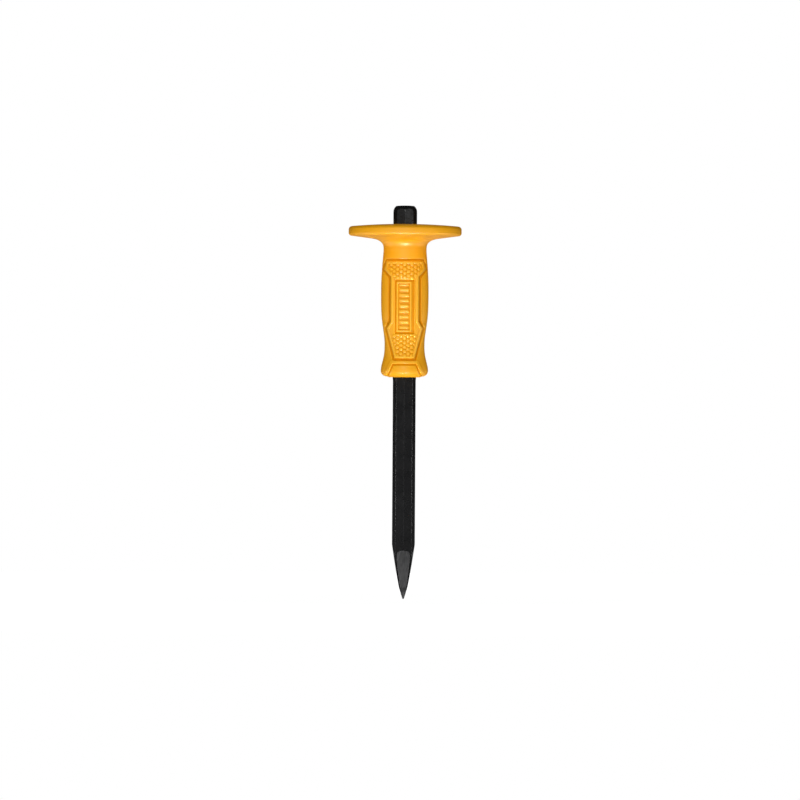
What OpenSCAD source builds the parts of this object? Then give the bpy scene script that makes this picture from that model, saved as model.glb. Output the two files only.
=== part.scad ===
// Pointed cold chisel with a moulded hand guard.
// Two pieces: a forged octagonal steel bar, and one moulding that is both the round guard and the grip.
// Millimetres. The origin is the tip of the point. +Z runs along the bar to the struck head.
// Edges of the octagon lie on the X and Y axes, and the grip's raised panels face -Y and +Y.

/* [Bar] */
// Length from the tip to the struck head
bar_length = 300; // [280:1:400]
// Width of the octagonal shank across its flats
shank_flats = 16; // [14:0.5:18]
// How much wider the bar is across its flats in the grip and at the head
seat_extra = 0.6; // [0.2:0.1:1]
// How far the head stands out above the guard
head_height = 14; // [8:1:25]
// Radius of the rounding around the struck end
head_round = 6.5; // [6:0.5:9]
// Depth of that rounding along the bar
head_round_depth = 5.3; // [3:0.1:5.5]
// Length of the ground point
point_length = 42; // [30:1:60]
// Half the width of the blunt tip
tip_half = 0.6; // [0.3:0.1:1]

/* [Guard] */
// Diameter of the round guard
guard_diameter = 86.2; // [70:0.2:100]
// Thickness of the guard at its rim
guard_rim = 7.3; // [6:0.1:10]
// Rise of the guard's top from its rim to the bar
guard_dome = 1.8; // [0.5:0.1:4]
// Fall of the guard's underside from its rim to the neck
guard_fall = 3.2; // [1:0.1:6]

/* [Grip] */
// Length from the top of the guard to the lower end of the grip
grip_length = 117; // [100:1:140]
// Radius of the neck below the guard
neck_radius = 16.4; // [14:0.1:17]
// Radius at the swell, where the palm closes
swell_radius = 18.1; // [17:0.1:20]
// Radius at the waist
waist_radius = 15.2; // [13:0.1:16]
// Radius at the flared lower end
flare_radius = 18; // [16.5:0.1:20]
// How far the raised panels stand out of the grip
panel_proud = 0.6; // [0.3:0.1:1]
// Depth of the groove below the collar
groove_depth = 1; // [0.5:0.1:1.5]

/* [Hidden] */
overlap = 1;
round_fn = 96;
arc_steps = 8;

// Bar
seat_flats = shank_flats + seat_extra;
shank_corner = shank_flats / 2 / cos(22.5);
seat_corner = seat_flats / 2 / cos(22.5);
shoulder_length = 6;
taper_half = 1.1;
taper_power = 0.82;
nose_slope = 0.31;
point_steps = 10;
band_ratio = 1.28;

// Heights along the bar
guard_top = bar_length - head_height;
grip_bottom = guard_top - grip_length;
rim_top = guard_top - guard_dome;
rim_bottom = rim_top - guard_rim;

// Guard
guard_radius = guard_diameter / 2;
rim_upper_round = 2.6;
rim_lower_round = 2.2;
fall_share = 0.62;
neck_curve_out = 9.5;
neck_curve_down = 6;
mouth_chamfer = 0.8;

// Grip: heights of its profile, as shares of its length, and how slowly each change of radius starts
collar_share = 0.765;
swell_share = 0.565;
waist_share = 0.215;
waist_power = 1.75;
flare_power = 1.45;
heel_round = 5;
collar_base = grip_bottom + collar_share * grip_length;
swell_at = grip_bottom + swell_share * grip_length;
waist_at = grip_bottom + waist_share * grip_length;
flare_at = grip_bottom + heel_round;
groove_width = 1.4;
groove_half = 14;

// Panels: half widths seen from the front, and heights
panel_top = collar_base - groove_width / 2;
panel_bottom = grip_bottom + 13.5;
finger_top = panel_top - 12.5;
finger_bottom = waist_at + 18;
panel_top_half = 14;
panel_finger_half = 10.7;
panel_waist_half = 13.6;
panel_bottom_half = 7;
shoulder_rise = 6.5;
waist_rise = 12;
toe_bottom = grip_bottom + 1;
toe_top = grip_bottom + 8.5;
toe_low_half = 11;
toe_top_half = 8.5;

// An octagonal bar with its edges on the axes
module octagon_bar(flats, bottom, top) {
    translate([0, 0, bottom])
        cylinder(r = flats / 2 / cos(22.5), h = top - bottom, $fn = 8);
}

// Points on an arc about a centre [r, z]
function arc(centre, radius, from, to, steps = arc_steps) = [
    for (i = [0 : steps])
        let (a = from + (to - from) * i / steps)
        [centre[0] + radius * cos(a), centre[1] + radius * sin(a)]
];

// Points on a curve from a to b that leaves and arrives along the lines through c
function bend(a, c, b, steps = arc_steps) = [
    for (i = [0 : steps])
        let (t = i / steps)
        (1 - t) * (1 - t) * a + 2 * t * (1 - t) * c + t * t * b
];

// 0 to 1, slow at both ends, and slower at its start as the power rises
function ease(t, power) = (1 - cos(180 * pow(t, power))) / 2;

// Points of a smooth change of radius between two heights
function sweep(from, to, power, steps = arc_steps) = [
    for (i = [0 : steps])
        let (t = i / steps)
        [from[0] + (to[0] - from[0]) * ease(t, power), from[1] + (to[1] - from[1]) * t]
];

// The palm swell rises quickly from the collar and flattens at its widest
function swell_curve(from, to, steps = arc_steps) = [
    for (i = [0 : steps])
        let (t = i / steps)
        [from[0] + (to[0] - from[0]) * sin(90 * t), from[1] + (to[1] - from[1]) * t]
];

// A half outline, listed from the bottom up, and its mirror image
function both_sides(right) = concat(
    right,
    [for (i = [len(right) - 1 : -1 : 0]) [-right[i][0], right[i][1]]]
);

// Distance from the axis to a ground face at a height above the tip: a long taper, and a blunter nose
function point_half(z) = min(
    tip_half + nose_slope * z,
    taper_half + (shank_corner - taper_half) * pow(z / point_length, taper_power)
);

// Outline of the point's ground faces, seen from one side, widened by a ratio
function point_outline(ratio = 1) = [
    for (i = [0 : point_steps])
        let (z = point_length * i / point_steps)
        [point_half(z) * ratio, z]
];

// A slab that holds two opposite ground faces and leaves the rest of the bar alone
module ground_pair() {
    clear = seat_corner + overlap;
    rest = [[clear, point_length + overlap], [clear, bar_length + overlap]];
    rotate([90, 0, 0])
        linear_extrude(height = 2 * clear, center = true)
            polygon(both_sides(concat(point_outline(), rest)));
}

// The turned envelope: rounded struck end, shoulder below the grip, and forged bands between ground faces
module bar_envelope() {
    head_base = bar_length - head_round_depth;
    head_sweep = asin(head_round_depth / head_round);
    head = arc([seat_corner - head_round, head_base], head_round, 0, head_sweep);
    shoulder_drop = seat_corner - shank_flats / 2;
    rotate_extrude($fn = round_fn)
        polygon(concat(
            [[0, 0]],
            point_outline(band_ratio),
            [[shank_corner * band_ratio, grip_bottom - shoulder_length - overlap]],
            [[seat_corner - shoulder_drop, grip_bottom - shoulder_length - overlap]],
            [[seat_corner - shoulder_drop, grip_bottom - shoulder_length]],
            [[seat_corner, grip_bottom]],
            head,
            [[0, bar_length]]
        ));
}

// The shoulder and the seat that the grip is pressed onto
module seat() {
    intersection() {
        octagon_bar(seat_flats, grip_bottom - shoulder_length, bar_length);
        bar_envelope();
    }
}

// The shank and its four-sided point
module shank() {
    intersection() {
        octagon_bar(shank_flats, 0, bar_length - head_round_depth - overlap);
        rotate_extrude($fn = round_fn)
            polygon(concat([[0, 0]], point_outline(band_ratio),
                [[shank_corner * band_ratio, bar_length], [0, bar_length]]));
        ground_pair();
        rotate([0, 0, 90]) ground_pair();
    }
}

module chisel_bar() {
    color([0.06, 0.06, 0.065])
        union() {
            shank();
            seat();
        }
}

// Outline of the moulding from the middle of the guard's top to the middle of its lower end
function grip_outline(proud = 0) = concat(
    [[0, guard_top]],
    [for (i = [1 : arc_steps]) let (r = (guard_radius - rim_upper_round) * i / arc_steps)
        [r, guard_top - guard_dome * pow(i / arc_steps, 2)]],
    arc([guard_radius - rim_upper_round, rim_top - rim_upper_round], rim_upper_round, 80, 0),
    arc([guard_radius - rim_lower_round, rim_bottom + rim_lower_round], rim_lower_round, 0, -90),
    bend([neck_radius + neck_curve_out, rim_bottom - guard_fall * fall_share],
        [neck_radius, rim_bottom - guard_fall],
        [neck_radius, rim_bottom - guard_fall - neck_curve_down]),
    swell_curve([neck_radius + proud, collar_base], [swell_radius + proud, swell_at]),
    sweep([swell_radius + proud, swell_at], [waist_radius + proud, waist_at], waist_power),
    sweep([waist_radius + proud, waist_at], [flare_radius + proud, flare_at], flare_power),
    arc([flare_radius + proud - heel_round, flare_at], heel_round, 0, -90),
    [[0, grip_bottom]]
);

// The moulding before its panels, groove and bore
module grip_core() {
    rotate_extrude($fn = round_fn)
        polygon(grip_outline());
}

// A panel of the given outline standing proud of the front of the grip
module raised_panel(outline) {
    intersection() {
        rotate_extrude($fn = round_fn)
            polygon(grip_outline(panel_proud));
        rotate([90, 0, 0])
            linear_extrude(height = flare_radius + overlap)
                polygon(outline);
    }
}

// The long palm panel: broad at the collar, narrow along the fingers, pointed above the waist
module palm_panel() {
    raised_panel(both_sides([
        [panel_bottom_half, panel_bottom],
        [panel_waist_half, waist_at + waist_rise],
        [panel_finger_half, finger_bottom],
        [panel_finger_half, finger_top],
        [panel_top_half, finger_top + shoulder_rise],
        [panel_top_half, panel_top]
    ]));
}

// The toe plate at the front of the flare
module toe_panel() {
    raised_panel(both_sides([[toe_low_half, toe_bottom], [toe_top_half, toe_top]]));
}

// The groove below the collar, across the front
module collar_groove() {
    reach = swell_radius + overlap;
    past = groove_width + 2 * overlap;
    intersection() {
        translate([0, 0, panel_top])
            difference() {
                cylinder(r = reach, h = groove_width, $fn = round_fn);
                translate([0, 0, -overlap])
                    cylinder(r = neck_radius - groove_depth, h = past, $fn = round_fn);
            }
        translate([-groove_half, -reach, panel_top - overlap])
            cube([2 * groove_half, reach, past]);
    }
}

// The octagonal bore, with a small countersink at the top of the guard
module bore() {
    octagon_bar(seat_flats, grip_bottom - overlap, guard_top + overlap);
    translate([0, 0, guard_top - mouth_chamfer])
        cylinder(r1 = seat_corner, r2 = seat_corner + mouth_chamfer + overlap,
            h = mouth_chamfer + overlap, $fn = round_fn);
}

module guard_grip() {
    color([0.97, 0.62, 0.10])
        difference() {
            union() {
                grip_core();
                for (turn = [0, 180])
                    rotate([0, 0, turn]) {
                        palm_panel();
                        toe_panel();
                    }
            }
            for (turn = [0, 180])
                rotate([0, 0, turn]) collar_groove();
            bore();
        }
}

chisel_bar();
guard_grip();
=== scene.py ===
"""Pointed cold chisel with a moulded hand guard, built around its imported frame.

Metres, in the frame of the CAD model: the tip of the point is the origin, +Z runs up the bar to the
struck head, and the grip's panels face -Y and +Y. Angles round the axis start at -Y, the front.
"""
import math

import bpy
import numpy as np
from mathutils import Matrix, Vector


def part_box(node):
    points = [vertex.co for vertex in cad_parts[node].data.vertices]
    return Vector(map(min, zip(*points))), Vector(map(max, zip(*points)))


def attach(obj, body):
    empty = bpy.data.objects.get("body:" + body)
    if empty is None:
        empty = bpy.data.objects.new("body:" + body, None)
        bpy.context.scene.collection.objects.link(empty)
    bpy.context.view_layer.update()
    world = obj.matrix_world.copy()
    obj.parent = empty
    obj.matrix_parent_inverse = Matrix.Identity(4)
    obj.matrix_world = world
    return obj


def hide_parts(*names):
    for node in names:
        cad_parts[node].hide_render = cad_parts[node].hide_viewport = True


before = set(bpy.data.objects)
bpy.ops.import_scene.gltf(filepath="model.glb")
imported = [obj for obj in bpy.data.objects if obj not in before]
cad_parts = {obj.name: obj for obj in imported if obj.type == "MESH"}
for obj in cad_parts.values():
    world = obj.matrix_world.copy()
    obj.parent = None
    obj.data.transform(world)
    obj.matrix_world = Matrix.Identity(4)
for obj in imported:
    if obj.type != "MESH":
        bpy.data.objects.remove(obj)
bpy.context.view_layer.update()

MM = 0.001
OCTAGON_HALF = math.radians(22.5)

# Places that the frame gives
BAR_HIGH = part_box("chisel_bar")[1]
GRIP_LOW, GRIP_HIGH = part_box("guard_grip")
HEAD_TOP = BAR_HIGH.z
GUARD_TOP = GRIP_HIGH.z
GRIP_BOTTOM = GRIP_LOW.z
GRIP_LENGTH = GUARD_TOP - GRIP_BOTTOM
GUARD_RADIUS = min(GRIP_HIGH.x, GRIP_HIGH.y, -GRIP_LOW.x, -GRIP_LOW.y)
SEAT_APOTHEM = BAR_HIGH.x * math.cos(OCTAGON_HALF)

# The bar
LACQUER = 0.12 * MM
SHANK_APOTHEM = 8.0 * MM + LACQUER
SHANK_CORNER = SHANK_APOTHEM / math.cos(OCTAGON_HALF)
SHOULDER_LENGTH = 3.0 * MM
SHOULDER_BOTTOM = GRIP_BOTTOM - SHOULDER_LENGTH
EDGE_ROUND = 0.8 * MM
COAT_RISE = 0.5 * MM
HEAD_ROUND = 6.5 * MM
HEAD_ROUND_DEPTH = 5.3 * MM
HEAD_BASE = HEAD_TOP - HEAD_ROUND_DEPTH
HEAD_CROWN = 0.35 * MM
HEAD_BLEND = 0.22 * MM

# The point: a long taper with a blunter nose, forged bands between the ground faces, and their bare parts
POINT_LENGTH = 42.0 * MM
TAPER_HALF = 1.1 * MM
TAPER_POWER = 0.82
NOSE_HALF = 0.5 * MM
NOSE_SLOPE = 0.31
TIP_ROUND = 0.4 * MM
BAND_RATIO = 1.27
BAND_BLEND = 0.3 * MM
FACE_BLEND = 0.15 * MM
BARE_TOP = 36.8 * MM
BARE_ARCH = 4.0 * MM
BARE_HALF = 4.9 * MM
BARE_RATIO = 0.73
POINT_ROW = 0.35 * MM

# The guard and the grip, as radii and as heights above the grip's lower end
GUARD_DOME = 1.8 * MM
DOME_START = 0.3
DOME_END = 0.97
GUARD_RIM = 7.3 * MM
GUARD_FALL = 3.2 * MM
FALL_SHARE = 0.62
UNDERSIDE_IN = 2.0 * MM
UNDERSIDE_DROP = 0.25 * MM
RIM_TOP = GUARD_TOP - GUARD_DOME
RIM_BOTTOM = RIM_TOP - GUARD_RIM
RIM_UPPER_ROUND = 2.6 * MM
RIM_LOWER_ROUND = 2.2 * MM
NECK_RADIUS = 16.4 * MM
NECK_CURVE_OUT = 9.5 * MM
NECK_CURVE_DOWN = 6.0 * MM
SWELL_RADIUS = 18.1 * MM
WAIST_RADIUS = 15.2 * MM
WAIST_POWER = 1.75
FLARE_RADIUS = 18.0 * MM
FLARE_POWER = 1.45
COLLAR_AT = 0.82 * GRIP_LENGTH
SWELL_AT = 0.565 * GRIP_LENGTH
WAIST_AT = 0.215 * GRIP_LENGTH
HEEL_ROUND = 5.0 * MM
BORE_GAP = 0.03 * MM
LIP_ROUND = 0.9 * MM
LIP_DROP = 0.1 * MM
FOOT_FLAT = 1.2 * MM
FOOT_EDGE_OUT = 0.4 * MM
FOOT_EDGE_UP = 0.3 * MM

# Relief of the grip, in millimetres: half widths seen from the front, and heights above its lower end
EDGE_SOFT = 0.25
PANEL_OUTLINE = ((14.2, 88.6), (15.9, 82.3), (11.0, 76.6), (11.0, 42.5), (14.0, 37.3), (7.8, 14.0))
PANEL_PROUD = 1.0
PANEL_SINK = 0.6
PANEL_SINK_FROM = 76.0
PANEL_SINK_TO = 88.0
WALL_WIDTH = 0.8
RIM_RIDGE_WIDTH = 1.0
RIM_RIDGE_SLOPE = 0.4
RIM_RIDGE_PROUD = 0.45
SEAM_DEPTH = 1.0
SEAM_WIDTH = 1.3
SEAM_TOP = 87.0
SEAM_FADE = 1.0
UPPER_FIELD = ((12.9, 88.0), (11.9, 82.6), (9.9, 77.4), (8.6, 75.0))
LOWER_FIELD = ((9.4, 32.4), (6.0, 15.8))
FIELD_DROP = 0.3
CELL_PITCH = 3.3
CELL_PROUD = 0.75
CELL_CUSHION = 3.0
CHANNEL = (-7.4, 7.4, 33.0, 74.2)
CHANNEL_DEPTH = 0.9
LABEL = (-6.3, 5.3, 34.5, 72.8)
LABEL_BORDER = 1.3
LABEL_SLOPE = 0.2
LABEL_PROUD = 0.8
RIB_MARGIN = 0.85
RIB_PITCH = 4.1
RIB_WIDTH = 2.0
RIB_PROUD = 0.6
COLLAR_GROOVE_AT = 89.6
COLLAR_GROOVE_HALF = 14.0
COLLAR_GROOVE_HOOK = (15.2, 86.8)
COLLAR_GROOVE_WIDTH = 0.85
COLLAR_GROOVE_DEPTH = 0.9
TOE_LOW = (12.4, 1.6)
TOE_TOP = (8.7, 9.7)
TOE_GROOVE_WIDTH = 1.0
TOE_GROOVE_DEPTH = 0.9
STRAP_TOP = (9.7, 11.6)
STRAP_FOOT = (14.2, 1.8)
STRAP_HALF = 1.0
STRAP_SLOPE = 0.7
STRAP_PROUD = 0.45
FOOT_LIFT = 0.6
FOOT_SOFT = 1.0
FINGER_WALL = 11.0
FINGER_START = 0.3
FINGER_WALL_CURVE = 1.4
FINGER_DEPTH = 2.8
FINGER_LOW = 38.5
FINGER_TOP = 82.0
FINGER_FADE = 3.0

# How finely the grip is meshed, in degrees round the axis and in metres along it
PANEL_SPAN = 62.0
FINE_STEP = 1.0
COARSE_STEP = 2.0
RELIEF_TOP = COLLAR_AT + 2.0 * MM
RELIEF_ROW = 0.4 * MM

# How many rows and columns away the surroundings of a hollow reach, and what each reach counts for; the
# grip's painted shade and painted highlight follow this measure
NEAR_REACH = 4
NEAR_SHARE = 0.75
WIDE_REACH = 9
WIDE_SHARE = 0.5

# Colours, as red, green, blue and opacity
ORANGE = (0.87, 0.378, 0.004, 1)
ORANGE_DRIFT = (0.89, 0.393, 0.006, 1)
# A paler orange for a painted highlight on the grip's ridges
ORANGE_PAINTED_HIGHLIGHT = (0.93, 0.455, 0.02, 1)
# A deeper orange for painted shade in the grip's grooves
ORANGE_PAINTED_SHADE = (0.67, 0.235, 0.001, 1)
LACQUER_BLACK = (0.005, 0.005, 0.0055, 1)
LACQUER_DRIFT = (0.009, 0.009, 0.0095, 1)
STEEL_DARK = (0.18, 0.18, 0.183, 1)
STEEL_STREAK = (0.30, 0.30, 0.305, 1)
STEEL_TIP = (0.60, 0.60, 0.61, 1)
# The palest steel is a painted highlight on the nose
STEEL_NOSE_HIGHLIGHT = (0.9, 0.9, 0.91, 1)

# Heights where the palest steel, a painted highlight on the nose, begins, and over which it and the head's
# dents fade in
NOSE_TOP = 6.0 * MM
NOSE_FADE = 1.5 * MM
HEAD_FADE = 2.0 * MM

# The stage, and the places on the tool that its lights face
FLOOR_RADIUS = 0.9
FLOOR_DROP = 0.2 * MM
FLOOR_GREY = 0.3
MIDDLE = (0, 0, HEAD_TOP / 2)
SHAFT = (0, 0, 105 * MM)
HEAD = (0, 0, HEAD_TOP)
NECK = (0, 0, GUARD_TOP - 15 * MM)
HEEL = (0, 0, GRIP_BOTTOM + 4 * MM)

# The camera: how much it sees across at the tool, where it looks, and how far it is turned about that line
WIDTH_SEEN = 610 * MM
LENS = 350.0
SENSOR = 36.0
AIM = Vector((-3.2 * MM, 0, 151.7 * MM))
TURN = math.radians(-0.327)


# Curves and shapes -----------------------------------------------------------------------------

def soft_step(low, high, value):
    """0 below low, 1 above high, smooth in between."""
    t = np.clip((value - low) / (high - low), 0.0, 1.0)
    return t * t * (3.0 - 2.0 * t)


def within(distance, soft):
    """1 inside an outline and 0 outside it, from a signed distance, with an edge 2 soft wide."""
    return 1.0 - soft_step(-soft, soft, distance)


def ease(t, power):
    """0 to 1, slow at both ends, and slower at its start as the power rises."""
    return (1.0 - np.cos(np.pi * np.power(np.clip(t, 0.0, 1.0), power))) / 2.0


def soft_min(a, b, blend):
    """The smaller of two values, rounded over where they are within blend of each other."""
    share = np.clip(0.5 + 0.5 * (b - a) / blend, 0.0, 1.0)
    return b * (1.0 - share) + a * share - blend * share * (1.0 - share)


def arc(centre, radius, start, end, steps):
    """Points [radius, height] on an arc, with angles in degrees."""
    angles = np.radians(np.linspace(start, end, steps))
    return np.column_stack((centre[0] + radius * np.cos(angles), centre[1] + radius * np.sin(angles)))


def bend(start, corner, end, steps):
    """Points on a curve that leaves start and reaches end along the lines through corner."""
    t = np.linspace(0.0, 1.0, steps)[:, None]
    return (1 - t) ** 2 * np.array(start) + 2 * t * (1 - t) * np.array(corner) + t ** 2 * np.array(end)


def octagon_radius(angle, apothem, rounding):
    """Distance to the side of an octagon whose edges lie on the axes, with rounded edges."""
    turn = np.mod(angle, 2 * OCTAGON_HALF)
    from_edge = np.minimum(turn, 2 * OCTAGON_HALF - turn)
    flat = apothem / np.cos(OCTAGON_HALF - from_edge)
    centre = (apothem - rounding) / math.cos(OCTAGON_HALF)
    reach = np.maximum(rounding ** 2 - (centre * np.sin(from_edge)) ** 2, 0.0)
    rounded = centre * np.cos(from_edge) + np.sqrt(reach)
    limit = math.atan2(rounding * math.sin(OCTAGON_HALF), centre + rounding * math.cos(OCTAGON_HALF))
    return np.where(from_edge < limit, rounded, flat)


def outline_distance(x, z, points):
    """Signed distance to a closed outline of straight sides, negative inside it."""
    nearest = np.full(x.shape, np.inf)
    inside = np.zeros(x.shape, bool)
    for (ax, az), (bx, bz) in zip(points, points[1:] + points[:1]):
        nearest = np.minimum(nearest, line_distance(x, z, (ax, az), (bx, bz)))
        crosses = (az > z) != (bz > z)
        if az != bz:
            inside ^= crosses & (x < (bx - ax) * (z - az) / (bz - az) + ax)
    return np.where(inside, -nearest, nearest)


def line_distance(x, z, a, b):
    """Distance to the straight line from a to b."""
    dx, dz = b[0] - a[0], b[1] - a[1]
    t = np.clip(((x - a[0]) * dx + (z - a[1]) * dz) / (dx * dx + dz * dz), 0.0, 1.0)
    return np.hypot(x - a[0] - t * dx, z - a[1] - t * dz)


def box_distance(x, z, left, right, low, top):
    """Signed distance to an upright rectangle, negative inside it."""
    across = np.abs(x - (left + right) / 2) - (right - left) / 2
    up = np.abs(z - (low + top) / 2) - (top - low) / 2
    outside = np.hypot(np.maximum(across, 0.0), np.maximum(up, 0.0))
    return outside + np.minimum(np.maximum(across, up), 0.0)


def groove(distance, half_width, depth):
    """A round-bottomed groove along a line at the given distance."""
    return -depth * (1.0 - soft_step(0.0, 1.0, distance / half_width))


def grid_mesh(name, points, close_rows=False, caps=False):
    """A mesh from an array of points [row, column, xyz] whose columns run round the axis.

    close_rows joins the last row to the first, and caps fills the first and the last row.
    """
    rows, columns = points.shape[:2]
    index = np.arange(rows * columns).reshape(rows, columns)
    beyond = np.roll(index, -1, axis=1)
    last = rows if close_rows else rows - 1
    below = np.roll(index, -1, axis=0)
    beyond_below = np.roll(beyond, -1, axis=0)
    quads = np.stack((index, below, beyond_below, beyond), axis=-1)[:last].reshape(-1, 4).tolist()
    vertices = points.reshape(-1, 3)
    if caps:
        ends = np.array([points[0].mean(axis=0), points[-1].mean(axis=0)])
        vertices = np.vstack((vertices, ends))
        first_end, second_end = len(vertices) - 2, len(vertices) - 1
        for j in range(columns):
            after = (j + 1) % columns
            quads.append((first_end, index[0, j], index[0, after]))
            quads.append((second_end, index[-1, after], index[-1, j]))
    mesh = bpy.data.meshes.new(name)
    mesh.from_pydata(vertices.tolist(), [], quads)
    mesh.validate()
    mesh.shade_smooth()
    piece = bpy.data.objects.new(name, mesh)
    bpy.context.scene.collection.objects.link(piece)
    return piece


def hollow(relief, reach):
    """How far each point lies below the mean of the points up to reach rows and columns away."""
    shifts = range(-reach, reach + 1)
    along = sum(np.roll(relief, shift, axis=0) for shift in shifts)
    around = sum(np.roll(along, shift, axis=1) for shift in shifts)
    return around / len(shifts) ** 2 - relief


def add_values(piece, name, values):
    """Stores one number per vertex, which the piece's material reads by name."""
    attribute = piece.data.attributes.new(name, "FLOAT", "POINT")
    padded = np.zeros(len(piece.data.vertices), np.float32)
    padded[:values.size] = values.ravel()
    attribute.data.foreach_set("value", padded)


# The grip and guard ----------------------------------------------------------------------------

def grip_columns():
    """Angles round the grip: fine across the front and back panels, coarser on the sides."""
    front = np.arange(-PANEL_SPAN, PANEL_SPAN, FINE_STEP)
    side = np.arange(PANEL_SPAN, 180.0 - PANEL_SPAN, COARSE_STEP)
    half = np.concatenate((front, side))
    return np.radians(np.concatenate((half, half + 180.0)))


def barrel_radius(height):
    """Radius of the plain grip at heights above its lower end."""
    neck = np.full(height.shape, NECK_RADIUS)
    rise = np.clip((COLLAR_AT - height) / (COLLAR_AT - SWELL_AT), 0.0, 1.0)
    swell = NECK_RADIUS + (SWELL_RADIUS - NECK_RADIUS) * np.sin(rise * np.pi / 2)
    to_waist = ease((SWELL_AT - height) / (SWELL_AT - WAIST_AT), WAIST_POWER)
    waist = SWELL_RADIUS + (WAIST_RADIUS - SWELL_RADIUS) * to_waist
    to_flare = ease((WAIST_AT - height) / (WAIST_AT - HEEL_ROUND), FLARE_POWER)
    flare = WAIST_RADIUS + (FLARE_RADIUS - WAIST_RADIUS) * to_flare
    return np.select((height > COLLAR_AT, height > SWELL_AT, height > WAIST_AT), (neck, swell, waist), flare)


def both_sides(half_outline):
    """A closed outline from the points of its right half, listed from the top down."""
    left = [(-x, z) for x, z in reversed(half_outline)]
    return list(half_outline) + left


def hexagon_cells(along, z):
    """0 to 1 over a honeycomb of cushioned cells, 1 in the middle of each."""
    column = CELL_PITCH * math.cos(math.radians(30))
    best = np.full(along.shape, np.inf)
    for shift_x, shift_z in ((0.0, 0.0), (column, CELL_PITCH / 2)):
        dx = np.mod(along - shift_x + column, 2 * column) - column
        dz = np.mod(z - shift_z + CELL_PITCH / 2, CELL_PITCH) - CELL_PITCH / 2
        slope = np.abs(dx) * math.cos(math.radians(30)) + np.abs(dz) / 2
        best = np.minimum(best, np.maximum(np.abs(dz), slope))
    reach = np.clip(best / (CELL_PITCH / 2), 0.0, 1.0)
    return 1.0 - reach ** CELL_CUSHION


def panel_relief(x, along, z, edge):
    """Height of the palm panel over its own base: rim ridge, honeycomb fields, channel and label."""
    ridge = RIM_RIDGE_PROUD * soft_step(-RIM_RIDGE_WIDTH - RIM_RIDGE_SLOPE, -RIM_RIDGE_WIDTH, edge)
    to_field = np.minimum(outline_distance(x, z, both_sides(UPPER_FIELD)),
                          outline_distance(x, z, both_sides(LOWER_FIELD)))
    cells = within(to_field, EDGE_SOFT) * (CELL_PROUD * hexagon_cells(along, z) - FIELD_DROP)
    to_label = box_distance(x, z, *LABEL)
    to_border = np.abs(to_label + LABEL_BORDER / 2) - LABEL_BORDER / 2
    border = within(to_border, LABEL_SLOPE)
    label_low = LABEL[2] + LABEL_BORDER
    from_rib = np.abs(np.mod(z - label_low, RIB_PITCH) - RIB_PITCH / 2)
    in_border = within(to_label + LABEL_BORDER + RIB_MARGIN, EDGE_SOFT)
    ribs = in_border * within(from_rib - RIB_WIDTH / 2, EDGE_SOFT)
    in_channel = within(box_distance(x, z, *CHANNEL), EDGE_SOFT)
    channel = in_channel * (LABEL_PROUD * border + RIB_PROUD * ribs - CHANNEL_DEPTH)
    return ridge + cells + channel


def mirrored_line(x, z, *points):
    """Distance to a line through points on the right, and to its mirror image on the left."""
    parts = [line_distance(np.abs(x), z, a, b) for a, b in zip(points, points[1:])]
    return np.minimum.reduce(parts)


def finger_zone(x, z, edge, radius):
    """How far the grip is cut back for the fingers, beside the panel and up to its sides."""
    away = np.clip((np.abs(x) - FINGER_WALL) / (radius / MM - FINGER_WALL), 0.0, 1.0)
    tall = soft_step(FINGER_LOW, FINGER_LOW + FINGER_FADE, z)
    tall *= 1.0 - soft_step(FINGER_TOP - FINGER_FADE, FINGER_TOP, z)
    scoop = 1.0 - np.exp(-np.maximum(edge + FINGER_START, 0.0) / FINGER_WALL_CURVE)
    return FINGER_DEPTH * scoop * (1.0 - away) * tall


def grip_relief(angle, height, radius):
    """How far the moulding stands out of the plain grip, from angles and heights in metres."""
    facing = np.where(np.cos(angle) >= 0, angle, angle - np.pi)
    x = radius * np.sin(facing) / MM
    along = radius * np.arctan2(np.sin(facing), np.cos(facing)) / MM
    z = height / MM
    edge = outline_distance(x, z, both_sides(PANEL_OUTLINE))
    proud = PANEL_PROUD * (1.0 - PANEL_SINK * soft_step(PANEL_SINK_FROM, PANEL_SINK_TO, z))
    on_panel = 1.0 - soft_step(-WALL_WIDTH, 0.0, edge)
    relief = on_panel * (proud + panel_relief(x, along, z, edge + WALL_WIDTH))
    seam = groove(np.abs(edge - SEAM_WIDTH / 2), SEAM_WIDTH, SEAM_DEPTH)
    relief += within(z - SEAM_TOP, SEAM_FADE) * seam
    corner = (COLLAR_GROOVE_HALF, COLLAR_GROOVE_AT)
    collar = mirrored_line(x, z, (0, COLLAR_GROOVE_AT), corner, COLLAR_GROOVE_HOOK)
    relief += groove(collar, COLLAR_GROOVE_WIDTH, COLLAR_GROOVE_DEPTH)
    toe = mirrored_line(x, z, (0, TOE_TOP[1]), TOE_TOP, TOE_LOW)
    relief += groove(toe, TOE_GROOVE_WIDTH, TOE_GROOVE_DEPTH)
    strap = mirrored_line(x, z, (0, STRAP_TOP[1]), STRAP_TOP, STRAP_FOOT)
    relief += STRAP_PROUD * (1.0 - soft_step(STRAP_HALF, STRAP_HALF + STRAP_SLOPE, strap))
    relief -= finger_zone(x, z, edge, radius)
    return relief * MM


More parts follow.
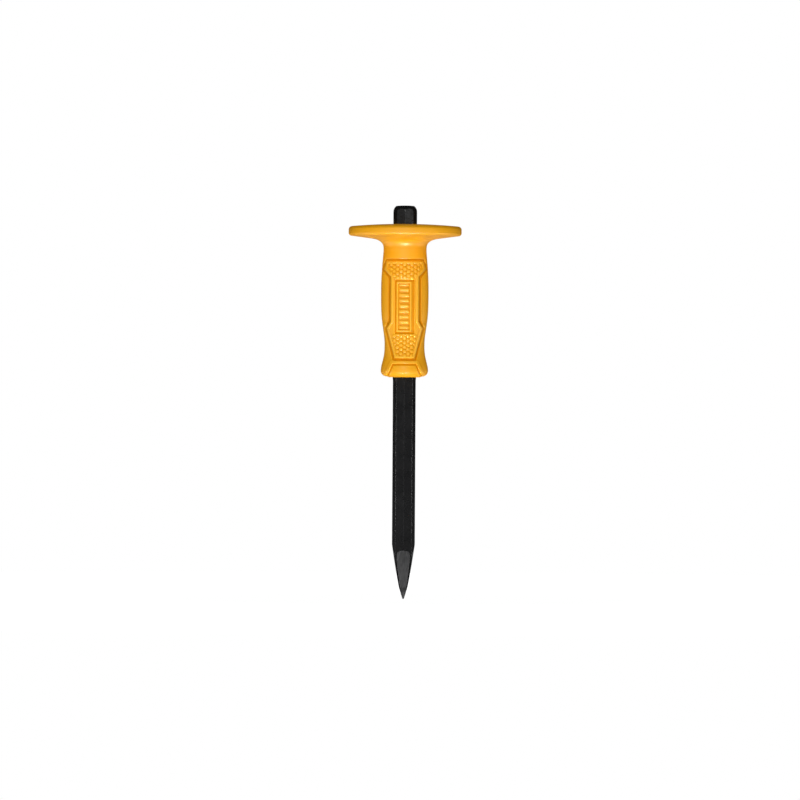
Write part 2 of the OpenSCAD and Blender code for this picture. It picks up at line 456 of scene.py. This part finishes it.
def guard_profile():
    """[radius, height] of the moulding over the guard, from beyond its lip, down to the neck."""
    upper_centre = (GUARD_RADIUS - RIM_UPPER_ROUND, RIM_TOP - RIM_UPPER_ROUND)
    lower_centre = (GUARD_RADIUS - RIM_LOWER_ROUND, RIM_BOTTOM + RIM_LOWER_ROUND)
    share = np.linspace(DOME_START, DOME_END, 9)
    dome = np.column_stack((upper_centre[0] * share, GUARD_TOP - GUARD_DOME * share ** 2))
    underside_start = (lower_centre[0] - UNDERSIDE_IN, RIM_BOTTOM - UNDERSIDE_DROP)
    neck_start = (NECK_RADIUS + NECK_CURVE_OUT, RIM_BOTTOM - FALL_SHARE * GUARD_FALL)
    neck_corner = (NECK_RADIUS, RIM_BOTTOM - GUARD_FALL)
    neck_end = (NECK_RADIUS, RIM_BOTTOM - GUARD_FALL - NECK_CURVE_DOWN)
    return np.vstack((
        dome,
        arc(upper_centre, RIM_UPPER_ROUND, 85, 0, 8),
        arc(lower_centre, RIM_LOWER_ROUND, 0, -90, 7),
        np.linspace(underside_start, neck_start, 5)[:-1],
        bend(neck_start, neck_corner, neck_end, 11),
    ))


def ring(angle, radius, height, relief=0.0):
    """Points round the axis at each column's angle, moved along Y by a relief, as a mould draws it."""
    radius = np.broadcast_to(radius, angle.shape)
    height = np.broadcast_to(height, angle.shape)
    outward = -np.sign(np.cos(angle)) * relief
    return np.stack((radius * np.sin(angle), -radius * np.cos(angle) + outward, height), axis=-1)


def build_grip():
    """The whole moulding as one closed mesh: guard, neck, grip with its relief, and octagonal bore."""
    angle = grip_columns()
    bore = octagon_radius(angle, SEAT_APOTHEM, EDGE_ROUND) + BORE_GAP
    rows, depth = [], []

    def add(points, relief=np.zeros(len(angle))):
        rows.append(points)
        depth.append(relief)

    # The lip at the bar, the guard, and the plain neck
    for turn in np.radians(np.linspace(0, 90, 5)):
        out = LIP_ROUND * (1 - math.cos(turn))
        down = LIP_ROUND * (1 - math.sin(turn))
        add(ring(angle, bore + out, GUARD_TOP - down - LIP_DROP))
    for radius, height in guard_profile():
        add(ring(angle, radius, height))
    neck_end = rows[-1][0, 2] - GRIP_BOTTOM
    for height in np.linspace(neck_end, RELIEF_TOP, 5)[1:]:
        add(ring(angle, barrel_radius(np.array([height])), GRIP_BOTTOM + height))

    # The grip, and its rounded heel that is a little shorter outside the toe plates
    count = int((RELIEF_TOP - HEEL_ROUND) / RELIEF_ROW)
    for height in np.linspace(RELIEF_TOP, HEEL_ROUND, count)[1:]:
        heights = np.full(angle.shape, height)
        radius = barrel_radius(heights)
        relief = grip_relief(angle, heights, radius)
        add(ring(angle, radius, GRIP_BOTTOM + height, relief), relief)
    for turn in np.radians(np.linspace(0, 90, 15))[1:]:
        height = HEEL_ROUND * (1 - math.sin(turn))
        radius = np.full(angle.shape, FLARE_RADIUS - HEEL_ROUND + HEEL_ROUND * math.cos(turn))
        relief = grip_relief(angle, np.full(angle.shape, height), radius) * math.cos(turn)
        off_plate = soft_step(-FOOT_SOFT, FOOT_SOFT, np.abs(radius * np.sin(angle)) / MM - TOE_LOW[0])
        lift = FOOT_LIFT * MM * off_plate * math.sin(turn) ** 2
        add(ring(angle, radius, GRIP_BOTTOM + height + lift, relief), relief)

    # The flat foot and the lower edge of the bore
    for out, up in ((FOOT_FLAT, 0.0), (FOOT_EDGE_OUT, 0.0), (0.0, FOOT_EDGE_UP)):
        add(ring(angle, bore + out, GRIP_BOTTOM + up))
    piece = grid_mesh("guard_grip_moulding", np.array(rows), close_rows=True)
    # How far each point lies below its surroundings, near and wide: the material turns it into painted shade
    # in hollows and a painted highlight on ridges
    relief = np.array(depth) / MM
    near, wide = hollow(relief, NEAR_REACH), hollow(relief, WIDE_REACH)
    add_values(piece, "hollow_mm", NEAR_SHARE * near + WIDE_SHARE * wide)
    return piece


# The bar ---------------------------------------------------------------------------------------

def bar_columns():
    """Angles round the bar, close together at the octagon's edges."""
    steps = np.array((0.0, 0.6, 1.2, 2.0, 3.0, 4.6, 7.0, 10.0, 14.0, 18.0))
    half = np.concatenate((steps, [22.5], 45.0 - steps[:0:-1]))
    return np.radians(np.concatenate([half + 45.0 * k for k in range(8)]))


def ground_distance(height):
    """Distance from the axis to the point's ground faces."""
    share = np.clip(height / POINT_LENGTH, 0.0, 1.0)
    taper = TAPER_HALF + (SHANK_CORNER - TAPER_HALF) * share ** TAPER_POWER
    below = 1.0 - np.clip(height / TIP_ROUND, 0.0, 1.0)
    blunt = math.sqrt(max(1.0 - below ** 2, 1e-4))
    return min(taper, NOSE_HALF + NOSE_SLOPE * height) * blunt


def bar_radius(angle, height):
    """Distance from the axis to the bar's surface."""
    to_seat = soft_step(SHOULDER_BOTTOM, GRIP_BOTTOM, height)
    coat = LACQUER * soft_step(GUARD_TOP, GUARD_TOP + COAT_RISE, height)
    apothem = SHANK_APOTHEM + (SEAT_APOTHEM - SHANK_APOTHEM) * to_seat + coat
    radius = octagon_radius(angle, apothem, EDGE_ROUND)
    if height > HEAD_BASE:
        reach = math.sqrt(HEAD_ROUND ** 2 - (height - HEAD_BASE) ** 2)
        turned = (SEAT_APOTHEM + coat) / math.cos(OCTAGON_HALF) - HEAD_ROUND + reach
        radius = soft_min(radius, np.full(angle.shape, turned), HEAD_BLEND)
    if height < POINT_LENGTH:
        face = ground_distance(height)
        across = np.maximum(np.abs(np.cos(angle)), np.abs(np.sin(angle)))
        forged = soft_min(radius, np.full(angle.shape, BAND_RATIO * face), BAND_BLEND)
        radius = soft_min(forged, face / across, FACE_BLEND)
    return radius


def bare_margin(angle, radius, height):
    """How far inside the bare ground part of its face each point lies, in millimetres."""
    sideways = radius * np.minimum(np.abs(np.sin(angle)), np.abs(np.cos(angle)))
    arch = np.clip((height - (BARE_TOP - BARE_ARCH)) / BARE_ARCH, 0.0, 1.0)
    limit = min(BARE_HALF, BARE_RATIO * ground_distance(height)) * (1.0 - arch ** 3) ** (1 / 3)
    return np.minimum(limit - sideways, BARE_TOP - height) / MM


def bar_heights():
    """Heights of the bar's rings: close together at the point, the shoulder and the head."""
    turns = np.linspace(0, math.asin(HEAD_ROUND_DEPTH / HEAD_ROUND), 44)
    return np.concatenate((
        TIP_ROUND * (1 - np.cos(np.linspace(0.12, math.pi / 2, 5))),
        np.arange(2 * POINT_ROW, POINT_LENGTH + 1.0 * MM, POINT_ROW),
        np.linspace(POINT_LENGTH + 3.0 * MM, SHOULDER_BOTTOM - 1.0 * MM, 24),
        np.linspace(SHOULDER_BOTTOM, GRIP_BOTTOM + 0.5 * MM, 7),
        np.linspace(GRIP_BOTTOM + 4.0 * MM, GUARD_TOP, 8),
        np.linspace(GUARD_TOP + 1.0 * MM, HEAD_BASE - 0.3 * MM, 8),
        HEAD_BASE + (HEAD_ROUND * np.sin(turns)) * (1 - HEAD_CROWN / HEAD_ROUND_DEPTH),
    ))


def build_bar():
    """The forged bar as one closed mesh, from its blunt tip to the struck head."""
    angle = bar_columns()
    rows, bare = [], []
    for height in bar_heights():
        radius = bar_radius(angle, height)
        rows.append(ring(angle, radius, height))
        bare.append(bare_margin(angle, radius, height))
    head_edge = bar_radius(angle, HEAD_TOP - HEAD_CROWN)
    not_bare = np.full(angle.shape, -BARE_TOP / MM)
    for share in (0.96, 0.88, 0.75, 0.6, 0.4, 0.2, 0.05):
        rows.append(ring(angle, head_edge * share, HEAD_TOP - HEAD_CROWN * share ** 2))
        bare.append(not_bare)
    piece = grid_mesh("chisel_bar_forging", np.array(rows), caps=True)
    add_values(piece, "bare_mm", np.array(bare))
    modifier = piece.modifiers.new("even_shading", "WEIGHTED_NORMAL")
    modifier.keep_sharp = True
    return piece


# Materials -------------------------------------------------------------------------------------

def new_material(name):
    """A material with only a Principled shader, its node tree and that shader."""
    material = bpy.data.materials.new(name)
    material.use_nodes = True
    tree = material.node_tree
    return material, tree, tree.nodes["Principled BSDF"]


def add_node(tree, kind, **inputs):
    """A shader node with its inputs set by name; underscores stand for spaces."""
    node = tree.nodes.new(kind)
    for name, value in inputs.items():
        node.inputs[name.replace("_", " ")].default_value = value
    return node


def object_noise(tree, scale, detail=2.0, stretch=(1.0, 1.0, 1.0)):
    """Noise in object space, with features about 1/scale metres across."""
    place = tree.nodes.new("ShaderNodeTexCoord")
    mapping = tree.nodes.new("ShaderNodeMapping")
    mapping.inputs["Scale"].default_value = stretch
    noise = add_node(tree, "ShaderNodeTexNoise", Scale=scale, Detail=detail)
    tree.links.new(place.outputs["Object"], mapping.inputs["Vector"])
    tree.links.new(mapping.outputs["Vector"], noise.inputs["Vector"])
    return noise.outputs["Fac"]


def remap(tree, value, from_low, from_high, to_low=0.0, to_high=1.0):
    """Maps one range of a value to another."""
    node = add_node(tree, "ShaderNodeMapRange",
                    From_Min=from_low, From_Max=from_high, To_Min=to_low, To_Max=to_high)
    tree.links.new(value, node.inputs["Value"])
    return node.outputs["Result"]


def noise_between(tree, low, high, scale, detail):
    """Noise in object space that mostly lies between two values."""
    return remap(tree, object_noise(tree, scale, detail), 0.3, 0.7, low, high)


def vertex_value(tree, name):
    """A number that the mesh stores for each vertex."""
    node = tree.nodes.new("ShaderNodeAttribute")
    node.attribute_name = name
    return node.outputs["Fac"]


def mix_colour(tree, share, first, second):
    """Mixes two colours, each a socket or four numbers."""
    node = tree.nodes.new("ShaderNodeMix")
    node.data_type = "RGBA"
    tree.links.new(share, node.inputs["Factor"])
    for socket, colour in ((node.inputs[6], first), (node.inputs[7], second)):
        if isinstance(colour, bpy.types.NodeSocket):
            tree.links.new(colour, socket)
        else:
            socket.default_value = colour
    return node.outputs[2]


def mix_number(tree, share, first, second):
    """Mixes two numbers, each a socket or a number."""
    node = tree.nodes.new("ShaderNodeMix")
    node.data_type = "FLOAT"
    tree.links.new(share, node.inputs["Factor"])
    for socket, number in ((node.inputs[2], first), (node.inputs[3], second)):
        if isinstance(number, bpy.types.NodeSocket):
            tree.links.new(number, socket)
        else:
            socket.default_value = number
    return node.outputs[0]


def add_bump(tree, shader, height, distance, strength=1.0, after=None):
    """Bumps the surface by a height of 0 to 1 over a distance in metres."""
    bump = add_node(tree, "ShaderNodeBump", Strength=strength, Distance=distance)
    tree.links.new(height, bump.inputs["Height"])
    if after is not None:
        tree.links.new(after, bump.inputs["Normal"])
    tree.links.new(bump.outputs["Normal"], shader.inputs["Normal"])
    return bump.outputs["Normal"]


def orange_moulding():
    """Satin orange plastic with a fine grain, with painted shade in its grooves, which are also rougher and
    less glossy, and a painted highlight on its ridges.
    """
    material, tree, shader = new_material("orange_moulding")
    hollow_mm = vertex_value(tree, "hollow_mm")
    # Painted shade darkens the grooves, from the stored depth below the surroundings
    painted_shade = remap(tree, hollow_mm, 0.02, 0.5)
    ridge = remap(tree, hollow_mm, -0.05, -0.45)
    drift = noise_between(tree, 0.0, 1.0, scale=60.0, detail=3.0)
    face = mix_colour(tree, drift, ORANGE, ORANGE_DRIFT)
    # A painted highlight makes the ridges paler
    highlighted = mix_colour(tree, ridge, face, ORANGE_PAINTED_HIGHLIGHT)
    tree.links.new(mix_colour(tree, painted_shade, highlighted, ORANGE_PAINTED_SHADE), shader.inputs["Base Color"])
    rough = noise_between(tree, 0.38, 0.48, scale=180.0, detail=3.0)
    tree.links.new(mix_number(tree, painted_shade, rough, 0.55), shader.inputs["Roughness"])
    tree.links.new(mix_number(tree, painted_shade, 0.26, 0.03), shader.inputs["Specular IOR Level"])
    add_bump(tree, shader, object_noise(tree, 2600.0), 0.03 * MM, 0.5)
    return material


def black_steel():
    """Black lacquer over forged steel, bare and belt-ground on the faces of the point."""
    material, tree, shader = new_material("black_lacquered_steel")
    shader.inputs["Specular IOR Level"].default_value = 0.45
    place = tree.nodes.new("ShaderNodeTexCoord")
    parts = tree.nodes.new("ShaderNodeSeparateXYZ")
    tree.links.new(place.outputs["Object"], parts.inputs["Vector"])
    height = parts.outputs["Z"]

    # Where the lacquer ends, with a ragged edge
    margin = tree.nodes.new("ShaderNodeMath")
    margin.operation = "ADD"
    tree.links.new(vertex_value(tree, "bare_mm"), margin.inputs[0])
    tree.links.new(noise_between(tree, -0.15, 0.15, scale=900.0, detail=3.0), margin.inputs[1])
    bare = remap(tree, margin.outputs["Value"], -0.06, 0.06)
    tree.links.new(bare, shader.inputs["Metallic"])

    # Lacquer that drifts a little, and ground steel with streaks along it that grows paler towards the tip,
    # palest at the nose as a painted highlight
    drift = noise_between(tree, 0.0, 1.0, scale=90.0, detail=4.0)
    lacquer = mix_colour(tree, drift, LACQUER_BLACK, LACQUER_DRIFT)
    scratches = object_noise(tree, 1500.0, 3.0, (1.0, 1.0, 0.06))
    ground = mix_colour(tree, remap(tree, scratches, 0.35, 0.65), STEEL_DARK, STEEL_STREAK)
    paler = mix_colour(tree, remap(tree, height, BARE_TOP, 0.0), ground, STEEL_TIP)
    # At the nose the steel turns palest: a painted highlight
    steel = mix_colour(tree, remap(tree, height, NOSE_TOP, NOSE_TOP - NOSE_FADE), paler, STEEL_NOSE_HIGHLIGHT)
    tree.links.new(mix_colour(tree, bare, lacquer, steel), shader.inputs["Base Color"])
    lacquer_rough = noise_between(tree, 0.24, 0.34, scale=240.0, detail=4.0)
    steel_rough = remap(tree, scratches, 0.3, 0.7, 0.38, 0.52)
    tree.links.new(mix_number(tree, bare, lacquer_rough, steel_rough), shader.inputs["Roughness"])

    # Orange peel in the lacquer, scratches, and shallow dents on the head
    orange_peel = add_bump(tree, shader, object_noise(tree, 420.0, 3.0), 0.05 * MM, 0.5)
    scratched = add_bump(tree, shader, scratches, 0.01 * MM, 0.6, after=orange_peel)
    on_head = remap(tree, height, GUARD_TOP, GUARD_TOP + HEAD_FADE)
    dents = mix_number(tree, on_head, 0.5, object_noise(tree, 330.0, 1.0))
    add_bump(tree, shader, dents, 0.5 * MM, 0.6, after=scratched)
    return material


# Stage, light and camera -----------------------------------------------------------------------

def white_surface(name, in_reflections, on_matt):
    """A plain surface that is white to the camera, with given strengths as a source of light."""
    material, tree, shader = new_material(name)
    shader.inputs["Base Color"].default_value = (FLOOR_GREY, FLOOR_GREY, FLOOR_GREY, 1)
    shader.inputs["Roughness"].default_value = 0.9
    shader.inputs["Emission Color"].default_value = (1, 1, 1, 1)
    tree.links.new(white_to_camera(tree, in_reflections, on_matt), shader.inputs["Emission Strength"])
    return material


def build_floor():
    """The plain pale floor under the tip, open in its middle so that it lights the tool from all sides."""
    angle = np.linspace(0, 2 * math.pi, 64, endpoint=False)
    rows = [ring(angle, FLOOR_RADIUS * share, -FLOOR_DROP) for share in (1.0, 0.6, 0.2)]
    floor = grid_mesh("floor", np.array(rows))
    floor.data.materials.append(white_surface("floor_white", in_reflections=0.05, on_matt=1.1))


def add_softbox(name, target, azimuth, elevation, distance, width, height, power,
                in_reflections=True, on_matt=True, spread=180):
    """An area light that faces a target; azimuth 0 is the camera's side, and 90 is to its right."""
    a, e = math.radians(azimuth), math.radians(elevation)
    towards = Vector((math.sin(a) * math.cos(e), -math.cos(a) * math.cos(e), math.sin(e)))
    light = bpy.data.lights.new(name, "AREA")
    light.shape = "RECTANGLE"
    light.size, light.size_y = width, height
    light.energy = power
    light.spread = math.radians(spread)
    lamp = bpy.data.objects.new(name, light)
    lamp.location = Vector(target) + towards * distance
    lamp.rotation_euler = towards.to_track_quat("Z", "Y").to_euler()
    lamp.visible_glossy = in_reflections
    lamp.visible_diffuse = on_matt
    lamp.visible_camera = False
    bpy.context.scene.collection.objects.link(lamp)


def light_scene():
    """A soft key from the front, fills for the matt colour, and cards that only show as reflections."""
    lights = (
        # name, target, azimuth, elevation, distance, width, height, power
        ("key_softbox", MIDDLE, -4, 20, 1.8, 0.8, 0.8, 12.0),
        ("left_fill", MIDDLE, -38, 0, 1.8, 0.8, 1.0, 4.8),
        ("right_fill", MIDDLE, 38, 0, 1.8, 0.8, 1.0, 3.9),
        ("left_panel", MIDDLE, -45, 0, 1.8, 0.7, 1.0, 0.18),
        ("right_panel", MIDDLE, 45, 0, 1.8, 0.7, 1.0, 0.16),
        ("left_strip", SHAFT, -90, 0, 0.25, 0.025, 0.13, 0.18),
        ("right_strip", SHAFT, 90, 0, 0.25, 0.025, 0.13, 0.18),
        ("left_head_card", HEAD, -45, 5, 0.3, 0.12, 0.12, 0.022),
        ("right_head_card", HEAD, 45, 5, 0.3, 0.12, 0.12, 0.05),
        ("bounce_card", MIDDLE, 0, -20, 0.42, 0.7, 0.4, 0.9),
        ("glint_card", NECK, 0, -50, 0.34, 0.22, 0.10, 0.30),
        ("heel_card", HEEL, 0, -75, 0.16, 0.12, 0.05, 0.022),
        ("rear_softbox", MIDDLE, 180, 48, 1.8, 0.8, 0.8, 14.0),
    )
    matt_only = ("left_fill", "right_fill", "bounce_card", "heel_card", "rear_softbox")
    reflections_only = ("left_strip", "right_strip", "left_head_card", "right_head_card", "glint_card")
    spreads = {"glint_card": 30, "heel_card": 60}
    for name, *setting in lights:
        add_softbox(name, *setting, in_reflections=name not in matt_only,
                    on_matt=name not in reflections_only, spread=spreads.get(name, 180))
    world = bpy.data.worlds.new("studio")
    bpy.context.scene.world = world
    world.use_nodes = True
    tree = world.node_tree
    background = tree.nodes["Background"]
    background.inputs["Color"].default_value = (1, 1, 1, 1)
    strength = white_to_camera(tree, in_reflections=0.02, on_matt=0.04)
    tree.links.new(strength, background.inputs["Strength"])


def white_to_camera(tree, in_reflections, on_matt):
    """A strength of 1 where the camera looks straight at a surface, and given ones as a light."""
    seen = tree.nodes.new("ShaderNodeLightPath")
    as_light = mix_number(tree, seen.outputs["Is Diffuse Ray"], in_reflections, on_matt)
    return mix_number(tree, seen.outputs["Is Camera Ray"], as_light, 1.0)


def place_camera():
    """Far off and level with the tool, which stands a little right of centre and leans a little."""
    camera = bpy.data.cameras.new("camera")
    camera.lens = LENS
    camera.sensor_width = SENSOR
    camera.clip_start, camera.clip_end = 0.1, 50.0
    holder = bpy.data.objects.new("camera", camera)
    holder.location = AIM - Vector((0, WIDTH_SEEN * LENS / SENSOR, 0))
    level = Matrix.Rotation(math.pi / 2, 3, "X")
    holder.rotation_euler = (Matrix.Rotation(TURN, 3, "Y") @ level).to_euler()
    bpy.context.scene.collection.objects.link(holder)
    bpy.context.scene.camera = holder


# Build -----------------------------------------------------------------------------------------

place_camera()
bpy.context.scene.view_settings.view_transform = "Standard"

grip = build_grip()
grip.data.materials.append(orange_moulding())
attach(grip, "root")
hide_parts("guard_grip")

bar = build_bar()
bar.data.materials.append(black_steel())
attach(bar, "root")
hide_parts("chisel_bar")

build_floor()
light_scene()
